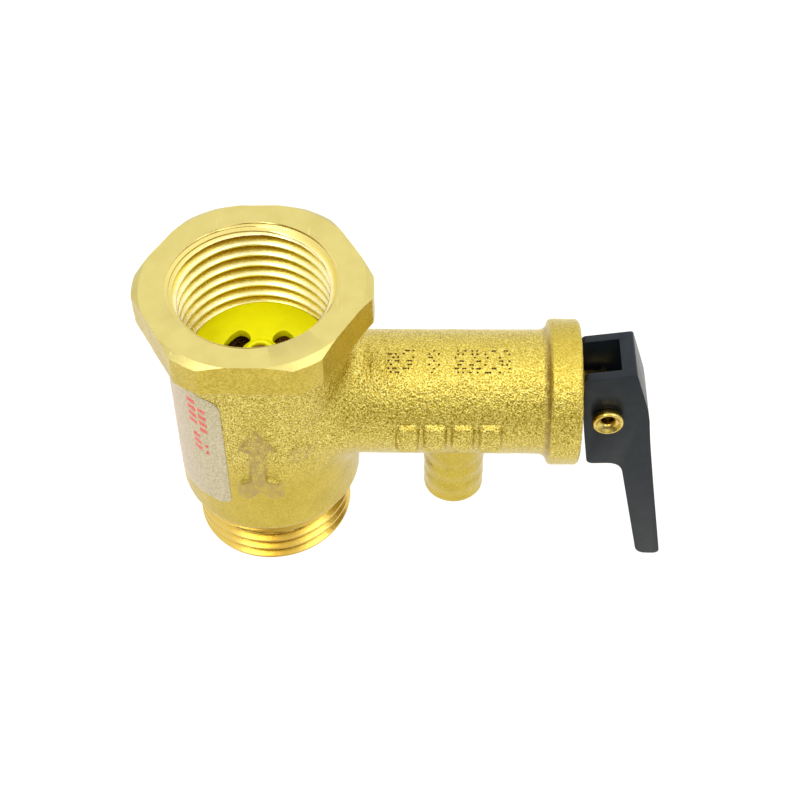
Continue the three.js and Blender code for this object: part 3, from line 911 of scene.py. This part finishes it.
def cage():
    plastic = [yellow_plastic()]
    low, high = box_mm("check_cage")
    radius, foot, hub = high.x, low.z, high.z
    rim = hub - 0.9
    profile = [
        (1.2, hub - 2.7), (2.2, hub - 2.7), (2.3, hub - 1.85), (4.9, hub - 1.85), (8.2, rim - 1.1),
        (8.3, foot), (radius, foot), (radius, rim), (6.6, rim + 0.12), (2.35, hub - 0.8),
        (1.9, hub - 0.2), (1.7, hub), (1.2, hub),
    ]
    dish = lathe("cage_moulding", rounded(profile, 0.4), plastic, segments=150)
    for middle in (30, 150, 270):
        cut(dish, cage_window(math.radians(middle), plastic))
    soften(dish, 0.42, segments=4, angle=55)
    return smooth(dish, 50)


def cage_window(middle, materials):
    """A curved slot with round ends between two spokes."""
    inner, outer, half = 2.5, 5.0, math.radians(20)
    centre, reach = (inner + outer) / 2, (outer - inner) / 2
    steps = 12

    def bow(radius, first, last):
        turns = [first + (last - first) * i / steps for i in range(steps + 1)]
        return [Vector((math.cos(turn), math.sin(turn))) * radius for turn in turns]

    def cap(end):
        along = Vector((math.cos(end * half), math.sin(end * half)))
        outward = Vector((-along.y, along.x)) * end * 0.7
        sweeps = [math.pi * i / steps for i in range(1, steps)]
        return [
            along * centre + reach * (end * math.cos(sweep) * along + math.sin(sweep) * outward)
            for sweep in sweeps
        ]

    outline = bow(outer, -half, half) + cap(1) + bow(inner, half, -half) + cap(-1)
    turned = Matrix.Rotation(middle, 2)
    outline = [tuple(turned @ point) for point in outline]
    return column("window", outline, CAGE_LEDGE_Z - 1.9, FEMALE_THREAD_END + 2.6, materials)


# ---- Inner pieces ----


def turned_part(name, profile, materials, place=None, edge=0.12):
    """A turned piece with its edges broken."""
    return smooth(lathe(name, rounded(profile, edge), materials, place))


def coil(name, radius, wire, turns, start, end, materials, place=None, around=12, per_turn=48):
    """A compression spring whose end turns lie closed."""
    closed = 2.15 * wire
    low, high = start + wire, end - wire
    open_pitch = (high - low - 2 * closed) / (turns - 2)
    steps = turns * per_turn
    rings = []
    for i in range(steps + 1):
        turn = i / per_turn
        into_open = min(max(turn - 1, 0), turns - 2)
        height = low + closed * (turn - into_open) + open_pitch * into_open
        angle = 2 * math.pi * turn
        outward = np.array((math.cos(angle), math.sin(angle), 0))
        centre = radius * outward + np.array((0, 0, height))
        for k in range(around):
            lean = 2 * math.pi * k / around
            rings.append(centre + wire * (math.cos(lean) * outward + np.array((0, 0, math.sin(lean)))))
    faces = [tuple(range(around)), tuple(range(steps * around, (steps + 1) * around))]
    for i, k in product(range(steps), range(around)):
        first, second = i * around + k, i * around + (k + 1) % around
        faces.append((first, second, second + around, first + around))
    points = np.array(rings)
    if place:
        points = place(points)
    return smooth(faces_out(new_object(name, points, faces, materials)), 60)


def check_stem():
    """The check valve's rod and plate, with a spring seat turned into the plate."""
    low, high = box_mm("check_stem")
    plate_foot = SPRING_SEAT - 1.4
    profile = [
        (0, low.z), (1, low.z), (1, plate_foot), (7.5, plate_foot), (7.5, SPRING_SEAT - 0.4),
        (7.1, SPRING_SEAT), (3.3, SPRING_SEAT), (3.1, SPRING_SEAT - 0.2), (1, SPRING_SEAT - 0.2),
        (1, high.z + 0.1), (0.9, high.z + 0.2), (0, high.z + 0.2),
    ]
    bronze = turned_brass("stem_bronze", (0.30, 0.15, 0.07), (0.44, 0.25, 0.13))
    return turned_part("check_poppet_stem", profile, [bronze], edge=0.15)


def check_seal():
    """The rubber disc, with a raised bead where it meets the seat."""
    low, high = box_mm("check_seal")
    profile = [
        (1.3, low.z + 0.1), (5.2, low.z + 0.1), (5.6, low.z), (7.0, low.z), (7.4, low.z + 0.3),
        (7.4, high.z), (1.3, high.z),
    ]
    return turned_part("check_seal_disc", profile, [rubber])


def flat_ring(name, node, inner, materials, place=None):
    """A washer that fills its node's box: along the run, or along the arm or pivot when placed."""
    low, high = box_mm(node)
    axis = {None: 2, along_x: 0, along_pivot: 1}[place]
    outer = (high - low)[axis - 1] / 2
    return turned_part(name, ring(inner, outer, low[axis], high[axis]), materials, place)


def check_nut():
    """A thin hexagon nut with turned corners."""
    low, high = box_mm("check_nut")
    corner, turned, drop = 2.5, 2.15, 0.25
    turns = [math.pi * i / 3 for i in range(6)]
    outline = [(corner * math.sin(turn), corner * math.cos(turn)) for turn in turns]
    nut = column("check_lock_nut", outline, low.z, high.z, [brass])
    crown = [
        (0, low.z), (turned, low.z), (corner, low.z + drop), (corner, high.z - drop), (turned, high.z),
        (0, high.z),
    ]
    combine(nut, lathe("nut_crown", crown, [brass]), "INTERSECT")
    cut(nut, lathe("nut_hole", rod(1.3, low.z - 1, high.z + 1), [brass]))
    return smooth(soften(nut, 0.06, segments=2))


def relief_seal():
    low, high = box_mm("relief_seal")
    profile = [(0, low.x), (4.7, low.x), (4.9, low.x + 0.2), (4.9, high.x), (0, high.x)]
    return turned_part("relief_seal_disc", profile, [rubber], along_x, edge=0.2)


def disc_holder():
    """The cup that carries the relief seal and takes the stem's head and the spring."""
    low, high = box_mm("disc_holder")
    back = high.x - 1.2
    profile = [
        (5.2, low.x), (5.6, low.x), (5.6, back), (3.4, back), (3.4, high.x), (2, high.x), (2, back - 0.3),
        (3, back - 0.3), (3, 15.4), (5.2, 15.4),
    ]
    return turned_part("seal_holder", profile, [brass], along_x)


def relief_stem():
    """The lifting rod: a head inside the holder, and a flat, round-ended blade for the rivet."""
    low, high = box_mm("relief_stem")
    rod_end = PIVOT.x - 2
    blade_start = ARM_END + 0.5
    neck_start, neck_end = 16.4, 18.5
    profile = [
        (0, low.x), (2.5, low.x), (2.7, low.x + 0.2), (2.7, neck_start), (1.7, neck_start),
        (1.7, neck_end), (1.9, neck_end), (1.9, rod_end), (0, rod_end),
    ]
    stem = lathe("lifting_rod", profile, [brass], along_x)
    outline = [(blade_start, PIVOT.z - 2.2)]
    for i in range(25):
        turn = math.pi * (i / 24 - 0.5)
        outline.append((PIVOT.x + 2.5 * math.cos(turn), PIVOT.z + 2.5 * math.sin(turn)))
    outline.append((blade_start, PIVOT.z + 2.6))
    combine(stem, prism("blade", outline, BLADE, [brass]), "UNION")
    cut(stem, lathe("blade_hole", rod(1.7, -5, 5), [brass], along_pivot, segments=48))
    return smooth(soften(stem, 0.12, segments=2, angle=50), 40)


def stem_o_ring():
    low, high = box_mm("stem_o_ring")
    wire, middle = (high.x - low.x) / 2, (high.x + low.x) / 2
    reach = (high.y - low.y) / 2 - wire
    turns = [2 * math.pi * i / 24 for i in range(24)]
    profile = [(reach + wire * math.cos(t), middle + wire * math.sin(t)) for t in turns]
    return smooth(lathe("o_ring", profile, [rubber], along_x), 60)


def spring_cap():
    """The plug in the arm's end, with a stem hole and two blind holes for a pin spanner."""
    outer = CAP_RADIUS
    profile = [
        (3.7, CAP_START), (outer - 0.4, CAP_START), (outer, CAP_START + 0.4), (outer, CAP_FACE - 0.3),
        (outer - 0.3, CAP_FACE), (2.5, CAP_FACE), (2.2, CAP_FACE - 0.3), (2.2, CAP_START + 1.8),
        (3.7, CAP_START + 1.8),
    ]
    plug = lathe("arm_plug", rounded(profile, 0.12), [brass], along_x)
    for side in (-4.6, 4.6):
        drill = [(0, CAP_FACE - 2.5), (0.9, CAP_FACE - 2.0), (0.9, CAP_FACE + 1), (0, CAP_FACE + 1)]
        cut(plug, lathe("spanner_hole", drill, [brass], along_x, segments=40, offset=(0, side)))
    return smooth(soften(plug, 0.08, segments=2, angle=50), 40)


# ---- Label and sprayed mark ----


def skin_points(points, lift):
    """Points moved onto the casting's blasted skin and raised by the lift."""
    points = onto_skin(np.asarray(points, dtype=float))
    return points + slope(points) * (blasted(points) + lift)


# The label's edges, in degrees round the run and millimetres along it
LABEL_LEFT = -168
LABEL_RIGHT = -110.5
LABEL_TOP = -9.9
LABEL_FOOT_LEFT = -31.2
LABEL_FOOT_RIGHT = -29.7
LABEL_CORNER = 1.4
LABEL_FILM = 0.05
# Its plain printed bars, as (first degree, last degree, top, count), each with its row pitch
BAR_COLUMNS = [
    (-127, -121, -12.2, 4), (-136, -129, -11.4, 4), (-134, -128, -17.6, 3), (-125, -122.5, -19, 2),
]
BAR_PITCH = 1.25
BAR_HEIGHT = 0.7


def printed(degrees, z):
    """Whether one of the label's bars covers a place."""
    for first, last, top, count in BAR_COLUMNS:
        row = (top - z) / BAR_PITCH
        if first < degrees < last and 0 <= row < count and row % 1 < BAR_HEIGHT / BAR_PITCH:
            return True
    return False


def label():
    """A thin film pressed onto the blasted skin, with a rounded corner and plain bars."""
    columns, rows = 96, 128
    steps = np.linspace(0, 1, columns + 1), np.linspace(0, 1, rows + 1)
    across, along = (part.ravel() for part in np.meshgrid(*steps, indexing="ij"))
    turn = np.radians(LABEL_LEFT + (LABEL_RIGHT - LABEL_LEFT) * across)
    from_edge = (math.radians(LABEL_RIGHT) - turn) * RUN_TOP_RADIUS
    dip = np.clip(LABEL_CORNER - from_edge, 0, LABEL_CORNER)
    corner = LABEL_CORNER - np.sqrt(LABEL_CORNER**2 - dip**2)
    top = LABEL_TOP - corner
    foot = LABEL_FOOT_LEFT + (LABEL_FOOT_RIGHT - LABEL_FOOT_LEFT) * across + corner
    x, y = RUN_FOOT_RADIUS * np.cos(turn), RUN_FOOT_RADIUS * np.sin(turn)
    grid = np.stack([x, y, top + (foot - top) * along], axis=1)
    outside = skin_points(grid, LABEL_FILM + 0.01)
    inside = skin_points(grid, 0.01)
    vertices = np.concatenate([outside, inside])
    count, tall = len(grid), rows + 1
    faces, inks = [], []
    for i, j in product(range(columns), range(rows)):
        corner = i * tall + j
        quad = (corner, corner + tall, corner + tall + 1, corner + 1)
        middle = outside[list(quad)].mean(axis=0)
        faces += [quad, tuple(count + k for k in reversed(quad))]
        inks += [printed(math.degrees(math.atan2(middle[1], middle[0])), middle[2]), False]
    border = [*range(rows), *range(rows, count - 1, tall)]
    border += [*range(count - 1, columns * tall, -1), *range(columns * tall, 0, -tall)]
    for first, second in zip(border, border[1:] + border[:1]):
        faces.append((first, second, count + second, count + first))
        inks.append(False)
    film = new_object("label_sheet", vertices, faces, [label_film(), label_ink()])
    for face, ink in zip(film.data.polygons, inks):
        face.material_index = int(ink)
    return smooth(faces_out(film), 60)


# The sprayed batch mark along the top of the arm: cells of dots that spell nothing
CELL_STARTS = [16.2, 18.1, 21.3, 24.6, 26.4, 28.3, 30.1]
DOT_PITCH = 0.3
DOT_ROW_DEGREES = 3.7
DOT_RADIUS = 0.125
DOT_COLUMNS = 5
DOT_ROWS = 7
DOT_SHARE = 0.36


def batch_mark():
    """Tiny flat dots of ink that follow the skin."""
    chance = random.Random(29)
    spots = []
    sides = 10
    for cell_start, column, row in product(CELL_STARTS, range(DOT_COLUMNS), range(DOT_ROWS)):
        if chance.random() > DOT_SHARE:
            continue
        x = cell_start + column * DOT_PITCH
        turn = math.radians(89 - row * DOT_ROW_DEGREES)
        spots.append((x, turn))
        for k in range(sides):
            lean = 2 * math.pi * k / sides
            reach = DOT_RADIUS * (0.85 + 0.3 * chance.random())
            across = 1.25 * reach * math.cos(lean)
            spots.append((x + across, turn + reach / ARM_RADIUS * math.sin(lean)))
    x, turn = np.array(spots).T
    vertices = np.stack([x, -ARM_RADIUS * np.cos(turn), ARM_Z + ARM_RADIUS * np.sin(turn)], axis=1)
    count = len(vertices)
    faces = []
    for start in range(0, count, sides + 1):
        for k in range(sides):
            first, second = start + 1 + k, start + 1 + (k + 1) % sides
            faces.append((start, first, second))
            faces.append((count + start, count + second, count + first))
            faces.append((first, count + first, count + second, second))
    points = np.concatenate([skin_points(vertices, 0.03), skin_points(vertices, -0.03)])
    return smooth(faces_out(new_object("batch_dots", points, faces, [batch_ink()])), 60)


# ---- Light, floor and camera ----


def soft_light(name, place, power):
    data = bpy.data.lights.new(name, "AREA")
    data.shape = "RECTANGLE"
    data.size = data.size_y = LAMP_SIZE
    data.energy = power
    light = placed(name, data)
    light.location = place
    aim = Vector(LAMP_TARGET) - Vector(place)
    light.rotation_euler = aim.to_track_quat("-Z", "Y").to_euler()


def tent():
    """A white tent round the valve: brightest overhead, dimmer at the sides and dark in front."""
    world = bpy.data.worlds.new("tent")
    world.use_nodes = True
    sky = Tree(world.node_tree, "Generated")

    def band(axis, start, end, low, high):
        """A smooth step of brightness along one axis of the sky."""
        return sky.scaled(sky.axis(axis), low, high, start, end, "SMOOTHSTEP")

    overhead = band("Z", 0.35, 0.85, SIDE_LIGHT, TOP_LIGHT)
    beyond = sky.joined("ADD", band("Y", -0.2, 0.5, 0, BACK_LIGHT), band("X", 0.1, 0.7, 0, RIGHT_LIGHT))
    dark = sky.joined("MULTIPLY", band("Y", -0.3, -0.75, 0, FRONT_SHADE), band("Z", 0.6, 0.25, 0, 1))
    light = sky.joined("SUBTRACT", sky.joined("ADD", overhead, beyond), dark)
    background = sky.tree.nodes["Background"]
    sky.link(light, background.inputs["Strength"])
    background.inputs["Color"].default_value = (1, 1, 1, 1)
    bpy.context.scene.world = world


def studio():
    tent()
    bpy.context.scene.view_settings.view_transform = "Standard"

    floor_z, reach = cad_low.z / MM - 80, 1500
    corners = [(-reach, -reach), (reach, -reach), (reach, reach), (-reach, reach)]
    paper = Nodes("pale_paper")
    paper.finish(paper.ramp(paper.noise(40.0), (0.3, (0.82, 0.81, 0.77)), (0.7, (0.84, 0.83, 0.79))))
    vertices = [(x, y, floor_z) for x, y in corners]
    floor = new_object("floor", vertices, [(0, 1, 2, 3)], [paper.material])
    floor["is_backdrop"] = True

    for lamp in LAMPS:
        soft_light(*lamp)


def camera():
    """At the photograph's viewing angle: 50 degrees down, a little to the right of the run."""
    place = Matrix.Translation(Vector(CAMERA_PLACE) * MM)
    for degrees, axis in CAMERA_TURNS:
        place = place @ Matrix.Rotation(math.radians(degrees), 4, axis)
    data = bpy.data.cameras.new("camera")
    data.sensor_width = SENSOR
    data.lens = LENS
    data.clip_start, data.clip_end = 0.005, 10
    made = placed("camera", data)
    made.matrix_world = place
    bpy.context.scene.camera = made


# ---- Assembly ----

brass, rubber, steel = turned_brass(), black_rubber(), spring_steel()


def fit(piece, node, body):
    """The piece stands for a CAD node and moves with its body."""
    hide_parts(node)
    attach(piece, body)


fit(valve_casting(), "valve_body", "body")
fit(cage(), "check_cage", "body")
fit(spring_cap(), "spring_cap", "body")
fit(stem_o_ring(), "stem_o_ring", "body")
fit(flat_ring("spring_rest", "spring_plate", 2.2, [steel], along_x), "spring_plate", "body")
fit(label(), "label", "body")
fit(check_stem(), "check_stem", "check_poppet")
fit(check_seal(), "check_seal", "check_poppet")
fit(flat_ring("seal_washer", "check_washer", 1.3, [brass]), "check_washer", "check_poppet")
fit(check_nut(), "check_nut", "check_poppet")
fit(relief_seal(), "relief_seal", "relief_spindle")
fit(disc_holder(), "disc_holder", "relief_spindle")
fit(relief_stem(), "relief_stem", "relief_spindle")
fit(lever(), "lever", "lever")
fit(rivet(), "lever_rivet", "lever")
fit(flat_ring("back_washer", "rivet_washer", 1.7, [brass], along_pivot), "rivet_washer", "lever")

low, high = box_mm("check_spring")
check_coil = coil("check_coil", 2.5, 0.32, 7, low.z, high.z, [steel])
fit(check_coil, "check_spring", "body")
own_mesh(check_coil)

low, high = box_mm("relief_spring")
relief_coil = coil("relief_coil", 4.6, 0.62, 7, low.x, high.x, [steel], along_x)
fit(relief_coil, "relief_spring", "body")
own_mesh(relief_coil)

dots = batch_mark()
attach(dots, "body")

studio()
camera()

low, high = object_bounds()
